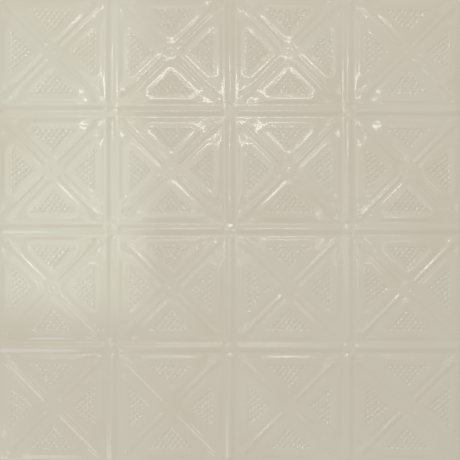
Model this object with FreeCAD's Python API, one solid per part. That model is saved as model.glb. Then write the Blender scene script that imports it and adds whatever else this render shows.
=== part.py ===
import math
import os

import FreeCAD
import Part

# A pressed tin ceiling tile: one thin steel sheet, stamped with a grid of squares. Rounded ridges
# part the squares, and a dome fills each crossing. Every square is a low plateau with a saltire of
# arms, a boss at its middle and four triangular panels, each a raised frame round a sunken field.
# Millimetres, face up, back of the lip at z = 0. Rises are measured from the flat of the sheet.

# Sheet
module = 152.4
squares = 4
lip_width = 6.35
gauge = 0.30

# Flat strip that the die leaves beside each form
moat = 0.6

# Ridges between the squares, and how far the outermost ones reach onto the lip
ridge_width = 13.6
ridge_shoulder_width = 5.6
ridge_shoulder_rise = 1.3
ridge_crest_width = 1.6
ridge_rise = 1.75
ridge_on_lip = 3.4

# Domes on the crossings
dome_width = 16.8
dome_shoulder_width = 9.2
dome_shoulder_rise = 0.75
dome_rise = 1.0

# Plateau of a square, and the valley between it and a ridge
valley = 1.4
plateau_run = 3.5
plateau_rise = 0.65

# Diagonal arms on the plateau
arm_width = 7.4
arm_crest_width = 2.4
arm_rise = 1.05

# Boss in the middle of a square: a button inside a ring
boss_width = 18.8
ring_width = 14.0
ring_rise = 0.85
button_width = 9.2
button_foot_rise = 0.7
button_shoulder_width = 4.8
button_shoulder_rise = 0.95
button_rise = 1.05

# Triangular panels on the plateau: a frame that leans inwards to a brink, and a sunken field
frame_run = 3.4
frame_rise = 1.3
frame_corner = 0.8
frame_width_by_ridge = 5.3
frame_width_by_arm = 9.0
brink_rise = 1.1
field_run = 3.4
field_rise = 0.5
field_corner = 0.8

# Sizes that follow from the ones above
half = module / 2.0
root_two = math.sqrt(2.0)
pattern_half = squares * half
tile_half = pattern_half + lip_width
ridge_end = half - dome_width / 2.0 - moat
plateau_half = half - ridge_width / 2.0 - valley
plateau_top = plateau_half - plateau_run
arm_start = boss_width / 2.0 + moat
arm_end = (plateau_top - moat) * root_two - arm_width / 2.0
frame_base = plateau_top - moat - frame_run
frame_leg = arm_width / 2.0 + moat + frame_run
field_base = frame_base - frame_width_by_ridge - field_run
field_leg = frame_leg + frame_width_by_arm + field_run

# Which way the six sides of a panel face: right leg, right cut, base, left cut, left leg, apex
panel_normals = [math.radians(degrees) for degrees in (-45.0, 22.5, 90.0, 157.5, 225.0, 270.0)]
round_sides = 8


def turned(points, angle):
    """Points (x, y, z) turned about the z axis by an angle in degrees."""
    c = math.cos(math.radians(angle))
    s = math.sin(math.radians(angle))
    return [(c * x - s * y, s * x + c * y, z) for x, y, z in points]


def closed_wire(points):
    """A closed polygon through points (x, y, z)."""
    corners = [FreeCAD.Vector(*p) for p in points]
    return Part.makePolygon(corners + corners[:1])


def facet(points):
    """A flat face inside a closed polygon."""
    return Part.Face(closed_wire(points))


def flanks(lower, upper):
    """Flat faces from each side of a lower polygon to the same side of an upper one, or to a peak."""
    count = len(lower)
    faces = []
    for i in range(count):
        j = (i + 1) % count
        if len(upper) == 1:
            faces.append(facet([lower[i], lower[j], upper[0]]))
        else:
            faces.append(facet([lower[i], lower[j], upper[j], upper[i]]))
    return faces


def strip(start, end, width, inset, z):
    """A rectangle along x from start to end, drawn in by an inset on every side, at height z."""
    left = start + inset
    right = end - inset
    y = width / 2.0 - inset
    return [(left, -y, z), (right, -y, z), (right, y, z), (left, y, z)]


def regular(width, z):
    """A regular polygon of a given width over its corners, at height z."""
    step = 2.0 * math.pi / round_sides
    radius = width / 2.0
    return [(radius * math.cos(step * i), radius * math.sin(step * i), z) for i in range(round_sides)]


def panel_reaches(base, leg, corner):
    """How far the six sides of a triangle with cut corners lie from the middle of the square.

    The base lies at a distance from the middle of the square and the legs at a distance from its
    diagonals. Each corner is cut by a line that touches a circle of the corner's radius.
    """
    apex_y = (leg + corner) * root_two
    corner_y = base - corner
    corner_x = corner_y - apex_y
    right = (corner_x, corner_y)
    left = (-corner_x, corner_y)
    apex = (0.0, apex_y)
    reaches = []
    for angle, centre in zip(panel_normals, (right, right, left, left, left, apex)):
        reaches.append(centre[0] * math.cos(angle) + centre[1] * math.sin(angle) + corner)
    return reaches


def panel_outline(reaches, z):
    """Corners of a panel's outline: each side meets the next one."""
    points = []
    count = len(reaches)
    for i in range(count):
        j = (i + 1) % count
        a = panel_normals[i]
        b = panel_normals[j]
        turn = math.sin(b - a)
        x = (reaches[i] * math.sin(b) - reaches[j] * math.sin(a)) / turn
        y = (reaches[j] * math.cos(a) - reaches[i] * math.cos(b)) / turn
        points.append((x, y, z))
    return points


def panel_form():
    """Triangular panel on the side of a square that faces +y: foot, frame, brink and field."""
    frame = panel_reaches(frame_base, frame_leg, frame_corner)
    frame[-1] = -(boss_width / 2.0 + moat + frame_run)
    field = panel_reaches(field_base, field_leg, field_corner)
    foot = [reach + frame_run for reach in frame]
    brink = [reach + field_run for reach in field]
    return [
        panel_outline(foot, plateau_rise),
        panel_outline(frame, frame_rise),
        panel_outline(brink, brink_rise),
        panel_outline(field, field_rise),
    ]


def arm_form():
    """Arm of the saltire, along x from the boss towards a crossing."""
    crest_inset = (arm_width - arm_crest_width) / 2.0
    return [
        strip(arm_start, arm_end, arm_width, 0.0, plateau_rise),
        strip(arm_start, arm_end, arm_width, crest_inset, arm_rise),
    ]


def boss_form():
    """Boss in the middle of a square: a ring, and a button that rises inside it to a peak."""
    return [
        regular(boss_width, plateau_rise),
        regular(ring_width, ring_rise),
        regular(button_width, button_foot_rise),
        regular(button_shoulder_width, button_shoulder_rise),
        [(0.0, 0.0, button_rise)],
    ]


def dome_form():
    """Dome on a crossing, rising to a peak."""
    return [
        regular(dome_width, 0.0),
        regular(dome_shoulder_width, dome_shoulder_rise),
        [(0.0, 0.0, dome_rise)],
    ]


def ridge_form():
    """Ridge along x between two crossings, with a shoulder on each side of its crest."""
    shoulder_inset = (ridge_width - ridge_shoulder_width) / 2.0
    crest_inset = (ridge_width - ridge_crest_width) / 2.0
    return [
        strip(-ridge_end, ridge_end, ridge_width, 0.0, 0.0),
        strip(-ridge_end, ridge_end, ridge_width, shoulder_inset, ridge_shoulder_rise),
        strip(-ridge_end, ridge_end, ridge_width, crest_inset, ridge_rise),
    ]


def plateau_form():
    """Plateau of a square: its foot and the edge of its top."""
    return [
        strip(-plateau_half, plateau_half, 2.0 * plateau_half, 0.0, 0.0),
        strip(-plateau_half, plateau_half, 2.0 * plateau_half, plateau_run, plateau_rise),
    ]


def drawn_in(value):
    """A coordinate, with what lies beyond the pattern drawn in so that a flat lip is left."""
    beyond = max(abs(value) - pattern_half, 0.0)
    kept = ridge_on_lip / (ridge_width / 2.0)
    return value - math.copysign(beyond * (1.0 - kept), value)


def placed(form, x, y, angle=0.0):
    """A form's outlines turned about its own origin and moved to (x, y) on the face of the sheet."""
    outlines = []
    for outline in form:
        points = turned(outline, angle)
        outlines.append([(drawn_in(x + px), drawn_in(y + py), gauge + pz) for px, py, pz in points])
    return outlines


def sides_of(form):
    """Flanks from each outline of a form to the next one above or below it."""
    faces = []
    for lower, upper in zip(form, form[1:]):
        faces += flanks(lower, upper)
    return faces


def raised(forms):
    """All faces of a list of forms: their sides, and a flat top where one doesn't end in a peak."""
    faces = []
    for form in forms:
        faces += sides_of(form)
        if len(form[-1]) > 1:
            faces.append(facet(form[-1]))
    return faces


def land(outline, forms):
    """The flat that is left inside an outline round the feet of the forms on it."""
    wires = [closed_wire(outline)] + [closed_wire(form[0]) for form in forms]
    return Part.makeFace(wires, "Part::FaceMakerBullseye").Faces


def square_forms(x, y):
    """The forms on the plateau of the square whose middle is (x, y)."""
    forms = [placed(boss_form(), x, y)]
    for quarter in range(4):
        forms.append(placed(panel_form(), x, y, 90.0 * quarter))
        forms.append(placed(arm_form(), x, y, 90.0 * quarter + 45.0))
    return forms


def pressed_face():
    """Faces of the stamped side of the sheet, inside an outline of its edge."""
    centres = [(i - (squares - 1) / 2.0) * module for i in range(squares)]
    lines = [(i - squares / 2.0) * module for i in range(squares + 1)]
    plateaus = []
    faces = []
    for x in centres:
        for y in centres:
            plateau = placed(plateau_form(), x, y)
            forms = square_forms(x, y)
            plateaus.append(plateau)
            faces += sides_of(plateau) + land(plateau[-1], forms) + raised(forms)
    borders = [placed(dome_form(), x, y) for x in lines for y in lines]
    for across in lines:
        for along in centres:
            borders.append(placed(ridge_form(), along, across))
            borders.append(placed(ridge_form(), across, along, 90.0))
    edge = strip(-tile_half, tile_half, 2.0 * tile_half, 0.0, gauge)
    return edge, faces + raised(borders) + land(edge, plateaus + borders)


def pressed_sheet():
    """The stamped face, the same face one gauge lower, and the rim that joins the two."""
    edge, face_side = pressed_face()
    back_side = [face.translated(FreeCAD.Vector(0, 0, -gauge)) for face in face_side]
    back_edge = [(x, y, z - gauge) for x, y, z in edge]
    skin = Part.Compound(face_side + back_side + flanks(back_edge, edge))
    skin.sewShape()
    solid = Part.Solid(skin.Shells[0])
    if solid.Volume < 0:
        solid.reverse()
    return solid


sheet = pressed_sheet()
box = sheet.BoundBox
print("valid", sheet.isValid(), "closed", sheet.isClosed(), "solids", len(sheet.Solids))
print("size", round(box.XLength, 3), round(box.YLength, 3), round(box.ZLength, 3))
print("faces", len(sheet.Faces), "volume", round(sheet.Volume, 1))
os.makedirs("parts", exist_ok=True)
sheet.exportStep("parts/pressed_sheet.step")
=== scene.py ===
# %% [markdown]
# # A pressed tin ceiling tile
# The real tile is one thin sheet of steel, stamped between two dies and then sprayed with glossy
# cream enamel. The dies lift the sheet by two millimetres at most, so nearly everything the eye
# sees is light sliding over low, rounded relief. This lesson writes that relief as one height for
# every point of the sheet, turns the heights into a mesh, and paints and lights it.
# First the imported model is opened. It is the fixed frame, and its box is the size to keep.

# %% Open the frame
import bpy
import numpy as np
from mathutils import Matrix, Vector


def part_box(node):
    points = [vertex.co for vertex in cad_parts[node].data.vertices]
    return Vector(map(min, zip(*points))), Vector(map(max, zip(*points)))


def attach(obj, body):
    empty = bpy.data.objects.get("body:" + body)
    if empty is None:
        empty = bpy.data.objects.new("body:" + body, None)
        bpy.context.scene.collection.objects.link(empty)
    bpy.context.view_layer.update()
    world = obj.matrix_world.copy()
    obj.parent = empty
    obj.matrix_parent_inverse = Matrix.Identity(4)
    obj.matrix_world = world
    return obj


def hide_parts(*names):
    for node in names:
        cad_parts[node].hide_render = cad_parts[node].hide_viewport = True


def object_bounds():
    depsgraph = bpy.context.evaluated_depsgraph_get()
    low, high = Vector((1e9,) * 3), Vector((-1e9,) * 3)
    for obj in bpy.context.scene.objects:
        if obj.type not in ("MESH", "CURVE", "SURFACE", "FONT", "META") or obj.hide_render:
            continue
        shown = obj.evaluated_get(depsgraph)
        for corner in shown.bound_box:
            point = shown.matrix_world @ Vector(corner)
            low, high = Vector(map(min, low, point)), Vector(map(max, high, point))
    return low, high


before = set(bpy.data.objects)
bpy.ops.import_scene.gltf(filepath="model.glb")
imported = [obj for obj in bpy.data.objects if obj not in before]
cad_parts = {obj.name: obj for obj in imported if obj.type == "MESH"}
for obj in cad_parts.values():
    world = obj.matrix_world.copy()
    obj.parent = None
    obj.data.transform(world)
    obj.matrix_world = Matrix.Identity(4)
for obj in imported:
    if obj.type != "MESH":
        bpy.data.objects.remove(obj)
cad_low, cad_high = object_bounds()
print("solid box", tuple(cad_low), tuple(cad_high))

# %% [markdown]
# The pattern is a grid of squares on a sheet that ends in a flat lip, through which the tile is
# nailed. The outer size comes from the frame, and one square follows from it. Lengths in the
# next cells are millimetres, as on a maker's drawing, and become metres when the mesh is made.

# %% Sizes of the sheet
mm = 0.001
tile_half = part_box("pressed_sheet")[1][0] / mm
lip_width = 6.35
gauge = 0.30
squares = 4
pattern_half = tile_half - lip_width
module = 2.0 * pattern_half / squares
half = module / 2.0
root_two = np.sqrt(2.0)
print("tile", 2.0 * tile_half, "mm, square", module, "mm")

# %% [markdown]
# Every square is the same, and inside a square the pattern mirrors about both middle lines and
# both diagonals. So any point can be folded into one eighth of a square, and each form has to be
# described only once. After the fold, `near` runs along the closest ridge between two squares and
# `far` runs towards it, both from the middle of the square.


# %% Fold the sheet into one eighth of a square
def folded(x, y):
    """Distances from the middle of the nearest square along both axes, the smaller one first."""
    across = np.abs((x + pattern_half) % module - half)
    along = np.abs((y + pattern_half) % module - half)
    return np.minimum(across, along), np.maximum(across, along)


def ramp(t):
    """An S-shaped rise from 0 to 1, level at both ends: three times the square less twice the cube."""
    t = np.clip(t, 0.0, 1.0)
    return t * t * (3.0 - 2.0 * t)


print("a crossing folds to", folded(pattern_half, pattern_half)[1], "mm on both axes")

# %% [markdown]
# Broad rounded ridges part the squares, and they stop short of each crossing, where a round dome
# fills the gap. A ridge could be a curve with a round bevel, but a stamped ridge flows out of
# the sheet. Here both are one wave, half a cosine from crest to foot, laid over a distance: to
# the line between two squares for a ridge, to the crossing for a dome. On the lip, beyond the
# outermost line, the same wave is squeezed so that a flat strip is left for the nails.

# %% Ridges and domes between the squares
ridge_half = 7.8
ridge_rise = 1.6
ridge_end = 6.0
ridge_end_run = 7.0
dome_half = 9.6
dome_rise = 1.0
lip_half = 4.0


def wave(distance, reach):
    """A crest that falls to its foot as half a cosine: 1 at no distance, 0 from the reach on."""
    return 0.5 + 0.5 * np.cos(np.pi * np.clip(distance / reach, 0.0, 1.0))


def band_ridge(near, far):
    """Height of a ridge: a wave across it, times a ramp at its end."""
    end = ramp((half - ridge_end - near) / ridge_end_run)
    return ridge_rise * wave(half - far, ridge_half) * end


def crossing_dome(near, far):
    """Height of a dome: a wave over the distance to the crossing."""
    return dome_rise * wave(np.hypot(half - near, half - far), dome_half)


print("ridge", ridge_rise, "mm high, half way down", band_ridge(0.0, half - ridge_half / 2.0), "mm")

# %% [markdown]
# Inside the ridges each square stands up as a low plateau with sloped sides. All other forms of
# the square rise from it or sink into it.

# %% Plateau
plateau_half = 68.0
plateau_run = 4.8
plateau_rise = 0.50


def plateau(far):
    """Height of the plateau: a ramp over the distance from its edge."""
    return plateau_rise * ramp((plateau_half - far) / plateau_run)


print("plateau", 2.0 * plateau_half, "mm wide at its foot")

# %% [markdown]
# Each square carries a saltire: four arms on its diagonals, from the boss in the middle to just
# before the crossings. An arm is a wave over the distance to a piece of the diagonal, which also
# rounds its ends.

# %% Arms of the saltire
arm_half = 4.3
arm_rise = 0.74
arm_start = 10.4
arm_end = 85.0


def diagonal_arm(near, far):
    """Height of an arm above the plateau: a wave over the distance to part of the diagonal."""
    along = (near + far) / root_two
    aside = (far - near) / root_two
    before = np.maximum(arm_start + arm_half - along, 0.0)
    past = np.maximum(along - (arm_end - arm_half), 0.0)
    return arm_rise * wave(np.hypot(before + past, aside), arm_half)


print("arm", arm_end - arm_start, "mm long and", 2.0 * arm_half, "mm wide")

# %% [markdown]
# A boss marks the middle of each square: a button inside a low ring. A lathe would turn both, so
# the distance from the middle is all that their heights need.

# %% Boss
button_half = 4.4
button_rise = 0.40
ring_radius = 7.0
ring_half = 2.6
ring_rise = 0.15


def boss(near, far):
    """Height of the boss above the plateau: a wave for the button and a wave for the ring."""
    radius = np.hypot(near, far)
    button = button_rise * wave(radius, button_half)
    return button + ring_rise * wave(np.abs(radius - ring_radius), ring_half)


print("boss", 2.0 * (ring_radius + ring_half), "mm across")

# %% [markdown]
# The four panels of a square are the showpiece of the die. Each is a triangular frame, broad and
# softly crowned, round a field that is sunk to the bottom of the relief. The inner edges are
# offsets of triangles with rounded corners, so one distance function serves them all: how far a
# point lies inside the outline, negative outside it.


# %% Distance inside a rounded triangle
def inside_triangle(near, far, base, leg, corner):
    """How far a point lies inside a triangle with rounded corners.

    The base lies at a distance from the middle of the square, the legs at a distance from the
    diagonals. The triangle is shrunk by its corner radius, the plain distance to the small
    triangle's sides is taken, and the radius is added again.
    """
    base_line = base - corner
    leg_line = leg + corner
    corner_near = base_line - leg_line * root_two
    leg_run = corner_near * root_two
    aside = (far - near) / root_two - leg_line
    along = (far + near) / root_two - leg_line
    past_leg = along - np.clip(along, 0.0, leg_run)
    past_base = near - np.minimum(near, corner_near)
    to_leg = np.hypot(aside, past_leg)
    to_base = np.hypot(base_line - far, past_base)
    within = (aside > 0.0) & (far < base_line)
    return corner + np.where(within, 1.0, -1.0) * np.minimum(to_leg, to_base)


quarter_depth = inside_triangle(0.0, half / 2.0, half, 0.0, 0.0)
print("a plain quarter of a square is", quarter_depth, "mm deep half way to its ridge")

# %% [markdown]
# The frame climbs steeply from the arms and slowly from the ridges, so its outer side is a
# product of ramps: one from each arm, one from the ridge, and one that keeps clear of the boss.
# Its top is nowhere level: it falls away on both sides of a crest that runs round it as a rounded
# triangle, which is the line that catches the light. Inside, it drops to the field.

# %% Panels
frame_leg = 4.3
frame_leg_run = 4.0
frame_base = 66.8
frame_base_run = 5.2
frame_clear = 9.0
frame_clear_run = 3.4
frame_rise = 0.56
crest_base = 60.6
crest_leg = 11.3
crest_corner = 8.4
crest_radius = 40.0
crest_reach_outside = 3.8
crest_reach_inside = 2.4
crest_inner = 5.0
field_base = 55.6
field_leg = 16.4
field_corner = 1.6
field_run = 4.2
field_drop = 0.60


def panel_frame(near, far):
    """Height of the frame above the plateau: ramps up outside, a crest on top, a ramp down inside.

    The crest is an arc over the distance to its line, taken as a parabola, with a longer reach on
    its outer side. Past its reach the slope stays even, up to where the field begins.
    """
    aside = (far - near) / root_two
    along = (far + near) / root_two
    legs = ramp((aside - frame_leg) / frame_leg_run) * ramp((along - frame_leg) / frame_leg_run)
    base = ramp((frame_base - far) / frame_base_run)
    clear = ramp((np.hypot(near, far) - frame_clear) / frame_clear_run)
    from_crest = inside_triangle(near, far, crest_base, crest_leg, crest_corner)
    from_field = inside_triangle(near, far, field_base, field_leg, field_corner)
    reach = np.where(from_crest < 0.0, crest_reach_outside, crest_reach_inside)
    from_crest = np.abs(np.minimum(from_crest, crest_inner))
    arc = np.minimum(from_crest, reach)
    fall = (arc * arc / 2.0 + (from_crest - arc) * reach) / crest_radius
    return legs * base * clear * (frame_rise - fall) - field_drop * ramp(from_field / field_run)


print("field of a panel", 2.0 * (field_base - field_leg * root_two), "mm along its base")

# %% [markdown]
# The fields are studded with round pebbles in staggered rows along the base. A Voronoi texture
# would give bumps for the eye alone. As the mesh itself should hold them, each pebble is a wave
# at a point of a lattice, shifted and resized a little by a seeded table of chance, and a point
# of the sheet takes the highest of the pebbles around it.

# %% Pebbles
pebble_pitch = 7.3
pebble_row = 4.5
pebble_half = 3.5
pebble_rise = 1.05
pebble_sway = 0.35
pebble_edge = 1.0
smallest_pebble = 0.85
first_row = 54.6
lattice = 16
seed = 24
chance = np.random.default_rng(seed)
sway_near = pebble_sway * chance.uniform(-1.0, 1.0, (lattice, lattice))
sway_far = pebble_sway * chance.uniform(-1.0, 1.0, (lattice, lattice))
pebble_size = chance.uniform(smallest_pebble, 1.0, (lattice, lattice))


def pebbles(near, far):
    """Height of the pebbles: the highest of the waves on the nine lattice points around."""
    middle_row = np.round((first_row - far) / pebble_row).astype(int)
    height = np.zeros_like(near)
    for row_step in (-1, 0, 1):
        row = np.clip(middle_row + row_step, 0, lattice - 1)
        stagger = 0.5 - 0.5 * (row % 2)
        middle = np.round(near / pebble_pitch - stagger).astype(int)
        for column_step in (-1, 0, 1):
            column = np.clip(middle + column_step, -1, lattice - 2)
            centre_near = (column + stagger) * pebble_pitch + sway_near[row, column]
            centre_far = first_row - row * pebble_row + sway_far[row, column]
            size = pebble_size[row, column]
            reach = np.hypot(near - centre_near, far - centre_far)
            height = np.maximum(height, size * wave(reach, pebble_half * size))
    return pebble_rise * height


print("pebbles", pebble_pitch, "mm apart in rows", pebble_row, "mm apart")

# %% [markdown]
# Thin sheet never stays quite flat between its stiff ridges. Each square bulges by a fraction of a
# millimetre, and no two by the same amount, which is why the gloss lights up different lines in
# each. The bulge is a wave both ways over the square, with a height from a seeded table.

# %% Bulge of each square
bulge_rise = 0.42
least_share = 0.15
bulge_share = chance.uniform(least_share, 1.0, (squares, squares))


def bulge(x, y):
    """Height by which a square bulges: its own share, faded to nothing at the ridges."""
    column = np.clip(((x + pattern_half) // module).astype(int), 0, squares - 1)
    row = np.clip(((y + pattern_half) // module).astype(int), 0, squares - 1)
    across = np.abs((x + pattern_half) % module - half)
    along = np.abs((y + pattern_half) % module - half)
    return bulge_rise * bulge_share[row, column] * wave(across, half) * wave(along, half)


print("bulges", bulge_rise * bulge_share.min(), "to", bulge_rise * bulge_share.max(), "mm high")

# %% [markdown]
# Now the forms are put together. Ridges, domes and plateaus stand side by side, so the highest
# one counts. Arms, bosses and panels belong to the plateau, so they are added to it. Beyond the
# pattern only the squeezed ridges and domes are left, and then the flat lip.


# %% Height of the whole sheet
def squeezed(x):
    """Coordinates beyond the pattern stretched, so that a wave ends on the lip."""
    beyond = np.maximum(np.abs(x) - pattern_half, 0.0)
    return x + np.sign(x) * beyond * (ridge_half / lip_half - 1.0)


def relief(x, y):
    """Height of the face: the higher of square and border inside the pattern, else the border."""
    near, far = folded(squeezed(x), squeezed(y))
    from_field = inside_triangle(near, far, field_base, field_leg, field_corner)
    square = plateau(far) + diagonal_arm(near, far) + boss(near, far) + panel_frame(near, far)
    square += bulge(x, y)
    square += pebbles(near, far) * ramp((from_field + pebble_edge) / field_run)
    inside = np.maximum(np.abs(x), np.abs(y)) <= pattern_half
    between = np.maximum(band_ridge(near, far), crossing_dome(near, far))
    return np.where(inside, np.maximum(square, between), between)


centre = np.zeros(1)
print("dome in the middle of the tile", relief(centre, centre)[0], "mm high")

# %% [markdown]
# A mesh of the relief could be a plain grid, but a grid fine enough for the pebbles has more than
# a million triangles, most of them on flat ground. It is still the way to start: every height is
# worked out at once, as one array, and the grid is thinned in a later step.

# %% Fine grid
cells_per_square = 200
cells_on_lip = 8

inner_lines = np.linspace(-pattern_half, pattern_half, squares * cells_per_square + 1)
lip_lines = np.linspace(pattern_half, tile_half, cells_on_lip + 1)[1:]
lines = np.concatenate([-lip_lines[::-1], inner_lines, lip_lines])
grid_x, grid_y = np.meshgrid(lines, lines)
grid_z = relief(grid_x, grid_y)
count = len(lines)
number = np.arange(count * count).reshape(count, count)
quads = np.stack([number[:-1, :-1], number[:-1, 1:], number[1:, 1:], number[1:, :-1]], axis=-1)
quads = quads.reshape(-1, 4)
grid_points = np.stack([grid_x, grid_y, grid_z], axis=-1).reshape(-1, 3)
print("fine grid", len(grid_points), "points, the highest at", grid_z.max(), "mm")

# %% [markdown]
# Blender can take points and faces one by one from lists, which is slow for so many. `foreach_set`
# takes whole arrays instead. One helper does this for the grid, the finished sheet and the floor.


# %% Mesh from arrays
def mesh_of(name, points, faces):
    """A mesh from an array of points in millimetres and an array of faces with equal sides."""
    mesh = bpy.data.meshes.new(name)
    sides = faces.shape[1]
    mesh.vertices.add(len(points))
    mesh.vertices.foreach_set("co", (points * mm).astype(np.float32).ravel())
    mesh.loops.add(faces.size)
    mesh.loops.foreach_set("vertex_index", faces.astype(np.int32).ravel())
    mesh.polygons.add(len(faces))
    mesh.polygons.foreach_set("loop_start", np.arange(0, faces.size, sides, dtype=np.int32))
    mesh.update(calc_edges=True)
    return mesh


fine_mesh = mesh_of("fine_grid", grid_points, quads)
print("fine mesh", len(fine_mesh.polygons), "faces")

# %% [markdown]
# A Decimate modifier thins the grid, and keeps triangles where the surface bends. The points that
# are left slide a little off the surface, so their heights are worked out again from the formula.

# %% Thin the grid
face_triangles = 97000

fine = bpy.data.objects.new("fine_grid", fine_mesh)
bpy.context.scene.collection.objects.link(fine)
thinning = fine.modifiers.new("thinning", "DECIMATE")
thinning.ratio = face_triangles / (2.0 * len(quads))
thinning.use_collapse_triangulate = True
thinned = bpy.data.meshes.new_from_object(fine.evaluated_get(bpy.context.evaluated_depsgraph_get()))
spots = np.empty(3 * len(thinned.vertices), dtype=np.float32)
thinned.vertices.foreach_get("co", spots)
spots = spots.reshape(-1, 3).astype(float) / mm
triangles = np.empty(3 * len(thinned.polygons), dtype=np.int32)
thinned.polygons.foreach_get("vertices", triangles)
triangles = triangles.reshape(-1, 3)
spot_x = np.clip(spots[:, 0], -tile_half, tile_half)
spot_y = np.clip(spots[:, 1], -tile_half, tile_half)
spot_z = relief(spot_x, spot_y)
bpy.data.objects.remove(fine)
bpy.data.meshes.remove(fine_mesh)
bpy.data.meshes.remove(thinned)
print("thinned face", len(spots), "points", len(triangles), "triangles")

# %% [markdown]
# The sheet has a back, which shows the pattern the other way round, as stamped metal does. It is
# the same face moved down by the gauge and turned over. Where a side of a triangle belongs to
# one triangle only, the sheet ends, and there a rim joins face and back.

# %% Close the sheet
face_points = np.stack([spot_x, spot_y, spot_z + gauge], axis=-1)
back_points = np.stack([spot_x, spot_y, spot_z], axis=-1)
point_count = len(spots)
sides = np.concatenate([triangles[:, [0, 1]], triangles[:, [1, 2]], triangles[:, [2, 0]]])
side_keys = np.sort(sides, axis=1)
_, first_seen, times_seen = np.unique(side_keys, axis=0, return_index=True, return_counts=True)
rim = sides[first_seen[times_seen == 1]]
rim_lower = np.stack([rim[:, 1], rim[:, 0], rim[:, 0] + point_count], axis=-1)
rim_upper = np.stack([rim[:, 1], rim[:, 0] + point_count, rim[:, 1] + point_count], axis=-1)
back_triangles = triangles[:, ::-1] + point_count
all_triangles = np.concatenate([triangles, back_triangles, rim_lower, rim_upper])
sheet_mesh = mesh_of("enamelled_sheet", np.concatenate([face_points, back_points]), all_triangles)
print("sheet", len(all_triangles), "triangles")

# %% [markdown]
# Triangles of a few millimetres would show as facets in a glossy finish. The formula also tells
# how steep the sheet is at each point, so each point gets the true direction of the surface, and
# the gloss runs smoothly over beads and pebbles. The rim keeps its own flat direction.

# %% True directions of the surface
probe = 0.05
slope_x = (relief(spot_x + probe, spot_y) - relief(spot_x - probe, spot_y)) / (2.0 * probe)
slope_y = (relief(spot_x, spot_y + probe) - relief(spot_x, spot_y - probe)) / (2.0 * probe)
upright = np.stack([-slope_x, -slope_y, np.ones(point_count)], axis=-1)
upright /= np.linalg.norm(upright, axis=1, keepdims=True)
corner_points = all_triangles.ravel()
corner_ways = np.concatenate([upright, -upright])[corner_points]
rim_corners = 3 * (len(rim_lower) + len(rim_upper))
flat_ways = np.empty(3 * len(all_triangles), dtype=np.float32)
sheet_mesh.polygons.foreach_get("normal", flat_ways)
flat_ways = np.repeat(flat_ways.reshape(-1, 3), 3, axis=0)
corner_ways[-rim_corners:] = flat_ways[-rim_corners:]
sheet_mesh.polygons.foreach_set("use_smooth", np.ones(len(all_triangles), dtype=bool))
sheet_mesh.normals_split_custom_set(corner_ways)
sheet_mesh.validate()
print("steepest slope", np.hypot(slope_x, slope_y).max())

# %% [markdown]
# A mesh shows only once an object holds it. The tile has no moving parts, so the object rides on
# the one body there is, and it takes the place of the plain solid in the frame.

# %% Put the sheet into the frame
enamelled_sheet = bpy.data.objects.new("enamelled_sheet", sheet_mesh)
bpy.context.scene.collection.objects.link(enamelled_sheet)
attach(enamelled_sheet, "root")
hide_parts("pressed_sheet")
print("object", enamelled_sheet.name, "with", len(sheet_mesh.vertices), "points")

# %% [markdown]
# The finish is sprayed enamel: cream, smooth and glossy, but never quite even. First its colour.
# One plain cream would look lifeless, so a broad noise mixes two creams that differ slightly. The
# noise lies on Object coordinates, which are metres here, so it stays with the sheet.

# %% Colour of the enamel
cream = (0.578, 0.533, 0.440, 1.0)
warm_cream = (0.560, 0.508, 0.408, 1.0)
drift_scale = 9.0
all_warm = 0.30
all_cream = 0.62


def add_node(tree, kind, **settings):
    """A node of a kind, with plain settings put on it and numbers put on its named sockets."""
    node = tree.nodes.new(kind)
    for key, value in settings.items():
        if key in node.inputs:
            node.inputs[key].default_value = value
        else:
            setattr(node, key, value)
    return node


enamel = bpy.data.materials.new("cream_enamel")
enamel.use_nodes = True
paint = enamel.node_tree
shader = paint.nodes["Principled BSDF"]
place = add_node(paint, "ShaderNodeTexCoord")
drift = add_node(paint, "ShaderNodeTexNoise", Scale=drift_scale, Detail=4.0)
tint = add_node(paint, "ShaderNodeValToRGB")
tint.color_ramp.elements[0].position = all_warm
tint.color_ramp.elements[0].color = warm_cream
tint.color_ramp.elements[1].position = all_cream
tint.color_ramp.elements[1].color = cream
paint.links.new(place.outputs["Object"], drift.inputs["Vector"])
paint.links.new(drift.outputs["Fac"], tint.inputs["Fac"])
paint.links.new(tint.outputs["Color"], shader.inputs["Base Color"])
sheet_mesh.materials.append(enamel)
print("colours", warm_cream[:3], "to", cream[:3])

# %% [markdown]
# Stoved enamel is nearly as glossy as glass, and a little duller in patches where the spray fell
# thin. A second noise moves the roughness between two low values.

# %% Gloss
patch_scale = 30.0
sharpest = 0.035
dullest = 0.075
enamel_ior = 1.5

patches = add_node(paint, "ShaderNodeTexNoise", Scale=patch_scale, Detail=3.0)
gloss = add_node(paint, "ShaderNodeMapRange")
gloss.inputs["To Min"].default_value = sharpest
gloss.inputs["To Max"].default_value = dullest
paint.links.new(place.outputs["Object"], patches.inputs["Vector"])
paint.links.new(patches.outputs["Fac"], gloss.inputs["Value"])
paint.links.new(gloss.outputs["Result"], shader.inputs["Roughness"])
shader.inputs["IOR"].default_value = enamel_ior
print("roughness", sharpest, "to", dullest)

# %% [markdown]
# A sprayed film dries with the faint skin of an orange. It is far too fine for the mesh, so a bump
# from a third noise, about a millimetre from crest to crest, stirs the gloss a little.

# %% Skin of the paint
peel_scale = 900.0
peel_depth = 0.0004
peel_strength = 0.08

peel = add_node(paint, "ShaderNodeTexNoise", Scale=peel_scale, Detail=1.0)
skin = add_node(paint, "ShaderNodeBump", Strength=peel_strength, Distance=peel_depth)
paint.links.new(place.outputs["Object"], peel.inputs["Vector"])
paint.links.new(peel.outputs["Fac"], skin.inputs["Height"])
paint.links.new(skin.outputs["Normal"], shader.inputs["Normal"])
print("nodes in the enamel", len(paint.nodes))

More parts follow.
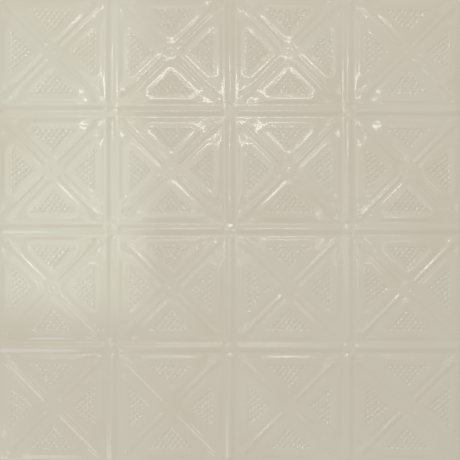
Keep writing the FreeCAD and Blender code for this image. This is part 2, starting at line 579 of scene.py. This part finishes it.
# %% [markdown]
# The tile lies face up on a plain pale floor, which is far larger than the tile so that slanted
# views see it too. Its colour wanders slightly, as on a cast floor, and it has no gloss.

# %% Floor
floor_half = 3000.0
floor_dark = (0.70, 0.70, 0.69, 1.0)
floor_light = (0.76, 0.76, 0.75, 1.0)
floor_scale = 3.0
floor_roughness = 0.9

floor_corners = np.array([(-1, -1, 0), (1, -1, 0), (1, 1, 0), (-1, 1, 0)]) * floor_half
floor_mesh = mesh_of("floor", floor_corners, np.array([[0, 1, 2, 3]]))
floor = bpy.data.objects.new("floor", floor_mesh)
bpy.context.scene.collection.objects.link(floor)
floor_paint = bpy.data.materials.new("pale_floor")
floor_paint.use_nodes = True
floor_tree = floor_paint.node_tree
floor_shader = floor_tree.nodes["Principled BSDF"]
floor_shader.inputs["Roughness"].default_value = floor_roughness
floor_place = add_node(floor_tree, "ShaderNodeTexCoord")
floor_noise = add_node(floor_tree, "ShaderNodeTexNoise", Scale=floor_scale, Detail=3.0)
floor_tint = add_node(floor_tree, "ShaderNodeValToRGB")
floor_tint.color_ramp.elements[0].color = floor_dark
floor_tint.color_ramp.elements[1].color = floor_light
floor_tree.links.new(floor_place.outputs["Object"], floor_noise.inputs["Vector"])
floor_tree.links.new(floor_noise.outputs["Fac"], floor_tint.inputs["Fac"])
floor_tree.links.new(floor_tint.outputs["Color"], floor_shader.inputs["Base Color"])
floor_mesh.materials.append(floor_paint)
print("floor", 2.0 * floor_half * mm, "m wide")

# %% [markdown]
# The camera looks straight down, and its frame is a little narrower than the tile, as in the
# photograph. A longer lens further off would show the same frame, but the height of the eye also
# sets where the gloss mirrors each lamp, so it is worked out from the lens.

# %% Camera straight above
lens = 85.0
film = 36.0
view_width = 0.593
view_shift = -0.001
eye_height = view_width * lens / film

camera_data = bpy.data.cameras.new("camera")
camera_data.lens = lens
camera_data.sensor_width = film
camera = bpy.data.objects.new("camera", camera_data)
camera.location = (0.0, view_shift, eye_height)
bpy.context.scene.collection.objects.link(camera)
bpy.context.scene.camera = camera
print("eye height", eye_height)

# %% [markdown]
# A glossy sheet shows its lamps as much as its shape. A lamp beyond the upper edge shades the
# sides that face down, and a large cool one beyond the lower left corner fills in from there. The
# others hang at the height of the eye, where the gloss mirrors them: two wide pale ones lighten the
# level parts, and a narrow strip and three small ones draw thin bright lines along the crests.


# %% Lamps
def soft_lamp(name, place, width, height, power, colour=(1.0, 1.0, 1.0)):
    """A rectangular lamp that hangs at a place and faces the middle of the tile."""
    data = bpy.data.lights.new(name, "AREA")
    data.shape = "RECTANGLE"
    data.size = width
    data.size_y = height
    data.energy = power
    data.color = colour
    lamp = bpy.data.objects.new(name, data)
    lamp.location = place
    lamp.rotation_mode = "QUATERNION"
    lamp.rotation_quaternion = lamp.location.to_track_quat("Z", "Y")
    bpy.context.scene.collection.objects.link(lamp)


above_eye = eye_height + 0.02
cool = (0.82, 0.88, 1.0)
small_places = [(across, -0.035, eye_height) for across in (-0.35, 0.01, 0.37)]
soft_lamp("top_light", (0.50, 1.9, 1.2), width=1.2, height=0.8, power=13.0)
soft_lamp("side_light", (-0.78, -0.98, 0.95), width=0.8, height=0.9, power=4.9, colour=cool)
soft_lamp("wide_light", (-0.18, 0.24, above_eye), width=0.96, height=0.46, power=1.08)
soft_lamp("low_light", (0.43, 0.065, above_eye), width=0.26, height=0.11, power=0.08)
soft_lamp("strip_light", (-0.01, 0.355, eye_height), width=0.46, height=0.06, power=0.68)
for small_place in small_places:
    soft_lamp("small_light", small_place, width=0.065, height=0.065, power=0.075)
print("lamps", len(bpy.data.lights))

# %% [markdown]
# The upper left of the tile is lit a little more, in a patch with straight sides that fade over
# some centimetres. A spot lamp would make a round patch, so this is a point of light whose strength
# depends on where a ray goes. The lamp isn't turned, so the sideways part of a ray over its
# downward part tells where it lands, and light passes near the middle of the patch, on each axis.

# %% Soft patch of light
beam_place = (1.1, -1.8, 1.2)
beam_power = 82.0
beam_colour = (0.70, 1.0, 0.97)
patch_blur = 0.036
patch_left = cad_low[0]
patch_right = -0.116
patch_low = -0.103
patch_high = cad_high[1]

beam = bpy.data.lights.new("beam_light", "POINT")
beam.energy = beam_power
beam.color = beam_colour
beam.shadow_soft_size = 0.0
beam.use_nodes = True
rays = beam.node_tree
way = add_node(rays, "ShaderNodeTexCoord")
parts = add_node(rays, "ShaderNodeSeparateXYZ")
patch = add_node(rays, "ShaderNodeMath", operation="MULTIPLY")
rays.links.new(way.outputs["Normal"], parts.inputs["Vector"])
rays.links.new(patch.outputs["Value"], rays.nodes["Emission"].inputs["Strength"])


def let_through(axis, low, high):
    """Let rays through that land between two edges of the patch, fading at both edges."""
    middle = (beam_place[axis] - (low + high) / 2.0) / beam_place[2]
    slant = add_node(rays, "ShaderNodeMath", operation="DIVIDE")
    offset = add_node(rays, "ShaderNodeMath", operation="SUBTRACT")
    offset.inputs[1].default_value = middle
    aside = add_node(rays, "ShaderNodeMath", operation="ABSOLUTE")
    fade = add_node(rays, "ShaderNodeMapRange", interpolation_type="SMOOTHSTEP")
    fade.inputs["From Min"].default_value = ((high - low) / 2.0 + patch_blur) / beam_place[2]
    fade.inputs["From Max"].default_value = ((high - low) / 2.0 - patch_blur) / beam_place[2]
    rays.links.new(parts.outputs[axis], slant.inputs[0])
    rays.links.new(parts.outputs["Z"], slant.inputs[1])
    rays.links.new(slant.outputs["Value"], offset.inputs[0])
    rays.links.new(offset.outputs["Value"], aside.inputs[0])
    rays.links.new(aside.outputs["Value"], fade.inputs["Value"])
    rays.links.new(fade.outputs["Result"], patch.inputs[axis])


let_through(0, patch_left, patch_right)
let_through(1, patch_low, patch_high)
beam_lamp = bpy.data.objects.new("beam_light", beam)
beam_lamp.location = beam_place
bpy.context.scene.collection.objects.link(beam_lamp)
print("patch", patch_right - patch_left, "by", patch_high - patch_low, "m")

# %% [markdown]
# Most of the light is an even, slightly warm sky, so no side of the relief goes dark. The view
# transform is Standard, so a colour comes out about as it is written.

# %% Sky
sky_colour = (0.995, 0.990, 0.962, 1.0)
sky_strength = 0.697

sky = bpy.data.worlds.new("soft_sky")
sky.use_nodes = True
sky_light = sky.node_tree.nodes["Background"]
sky_light.inputs["Color"].default_value = sky_colour
sky_light.inputs["Strength"].default_value = sky_strength
bpy.context.scene.world = sky
bpy.context.scene.view_settings.view_transform = "Standard"
print("sky", sky_strength)
